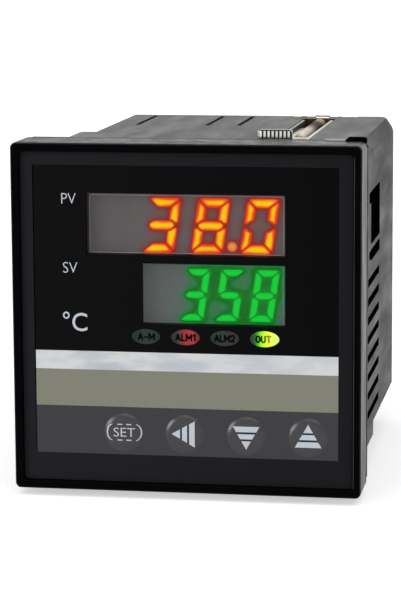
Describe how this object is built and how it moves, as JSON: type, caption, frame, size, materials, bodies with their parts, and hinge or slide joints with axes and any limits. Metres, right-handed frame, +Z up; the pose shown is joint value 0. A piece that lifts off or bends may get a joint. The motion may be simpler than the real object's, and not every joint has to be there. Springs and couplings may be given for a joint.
{
  "type": "PID temperature controller",
  "caption": "Panel-mounted PID temperature controller with two digital displays, push keys, rear screw terminals and sliding screw clamps.",
  "frame": {"origin": "centre of the panel cut-out, in the rear plane of the flange that meets the front of the panel", "axes": "+X right as seen from the front, +Y from the front into the panel, +Z up"},
  "size_m": [0.096, 0.115, 0.1002],
  "materials": {
    "housing_plastic": "black moulded plastic, fine texture",
    "bezel_plastic": "black moulded plastic, satin",
    "overlay_film": "charcoal film, satin",
    "print_black": "black print under film",
    "print_white": "white print under film",
    "print_khaki": "khaki print under film",
    "print_grey": "mid grey print under film",
    "window_tint": "lightly smoked clear plastic",
    "display_face": "grey face of the display module",
    "segment_red": "lit red bars",
    "segment_green": "lit green bars",
    "segment_dark_red": "unlit bars of the red display",
    "segment_dark_green": "unlit bars of the green display",
    "indicator_green": "translucent indicator window",
    "indicator_red": "translucent indicator window",
    "indicator_lit": "translucent indicator window, lit from behind",
    "led_body": "clear lamp",
    "key_rubber": "dark grey key cap",
    "switch_body": "black switch",
    "board_green": "green circuit board",
    "connector_black": "black connector",
    "connector_cream": "cream connector",
    "terminal_plastic": "black terminal block",
    "terminal_brass": "nickel-free brass",
    "screw_steel": "zinc-plated steel",
    "clamp_metal": "bright zinc",
    "clamp_brass": "dull brass",
    "core_steel": "varnished laminations",
    "coil_tape": "yellow tape over the winding",
    "relay_blue": "blue relay housing",
    "can_black": "sleeved capacitor",
    "chip_black": "chip package"
  },
  "bodies": {
    "housing": {"housing": "housing_plastic", "terminal_block": "terminal_plastic", "left_terminals": "terminal_brass", "right_terminals": "terminal_brass", "left_terminal_screws": "screw_steel", "right_terminal_screws": "screw_steel", "left_edge_socket": "connector_black", "right_edge_socket": "connector_black", "top_clamp_nut": "clamp_brass", "bottom_clamp_nut": "clamp_brass"},
    "chassis": {"alarm_1_indicator": "indicator_red", "alarm_1_led": "led_body", "alarm_1_relay": "relay_blue", "alarm_2_indicator": "indicator_green", "alarm_2_led": "led_body", "alarm_2_relay": "relay_blue", "auto_indicator": "indicator_green", "auto_led": "led_body", "bezel": "bezel_plastic", "board_screws": "screw_steel", "converter": "chip_black", "display_board": "board_green", "down_switch": "switch_body", "filter_capacitor": "can_black", "main_board": "board_green", "main_header": "connector_cream", "output_indicator": "indicator_lit", "output_led": "led_body", "output_relay": "relay_blue", "overlay": "overlay_film", "power_board": "board_green", "power_header": "connector_cream", "print_display_field": "print_black", "print_key_field": "print_grey", "print_khaki_band": "print_khaki", "print_white_band": "print_white", "processor": "chip_black", "pv_dark_bars": "segment_dark_red", "pv_display": "display_face", "pv_lit_bars": "segment_red", "pv_window": "window_tint", "reservoir_capacitor": "can_black", "set_switch": "switch_body", "shift_switch": "switch_body", "sv_dark_bars": "segment_dark_green", "sv_display": "display_face", "sv_lit_bars": "segment_green", "sv_window": "window_tint", "transformer_coil": "coil_tape", "transformer_core": "core_steel", "up_switch": "switch_body"},
    "set_key": {"set_key": "key_rubber"},
    "shift_key": {"shift_key": "key_rubber"},
    "down_key": {"down_key": "key_rubber"},
    "up_key": {"up_key": "key_rubber"},
    "top_clamp": {"top_clamp": "clamp_metal"},
    "bottom_clamp": {"bottom_clamp": "clamp_metal"},
    "top_clamp_screw": {"top_clamp_screw": "clamp_brass"},
    "bottom_clamp_screw": {"bottom_clamp_screw": "clamp_brass"}
  },
  "joints": [
    {"name": "draw_out", "type": "slide", "parent": "housing", "child": "chassis", "axis": [0, -1, 0], "range_m": [0, 0.1]},
    {"name": "set_press", "type": "slide", "parent": "chassis", "child": "set_key", "axis": [0, 1, 0], "range_m": [0, 0.00035], "stiffness_N_per_m": 2000, "springref_m": -0.0004},
    {"name": "shift_press", "type": "slide", "parent": "chassis", "child": "shift_key", "axis": [0, 1, 0], "range_m": [0, 0.00035], "stiffness_N_per_m": 2000, "springref_m": -0.0004},
    {"name": "down_press", "type": "slide", "parent": "chassis", "child": "down_key", "axis": [0, 1, 0], "range_m": [0, 0.00035], "stiffness_N_per_m": 2000, "springref_m": -0.0004},
    {"name": "up_press", "type": "slide", "parent": "chassis", "child": "up_key", "axis": [0, 1, 0], "range_m": [0, 0.00035], "stiffness_N_per_m": 2000, "springref_m": -0.0004},
    {"name": "top_clamp_slide", "type": "slide", "parent": "housing", "child": "top_clamp", "axis": [0, 1, 0], "range_m": [0, 0.005]},
    {"name": "top_screw_turn", "type": "hinge", "parent": "top_clamp", "child": "top_clamp_screw", "pos_m": [0.0239, 0.06, 0.04385], "axis": [0, 1, 0], "range_deg": [0, 2571.5]},
    {"name": "bottom_clamp_slide", "type": "slide", "parent": "housing", "child": "bottom_clamp", "axis": [0, 1, 0], "range_m": [0, 0.005]},
    {"name": "bottom_screw_turn", "type": "hinge", "parent": "bottom_clamp", "child": "bottom_clamp_screw", "pos_m": [-0.0239, 0.06, -0.04385], "axis": [0, 1, 0], "range_deg": [0, 2571.5]}
  ],
  "couplings": [
    {"joint": "top_screw_turn", "follows": "top_clamp_slide", "rad_per_m": 8976},
    {"joint": "bottom_screw_turn", "follows": "bottom_clamp_slide", "rad_per_m": 8976}
  ]
}
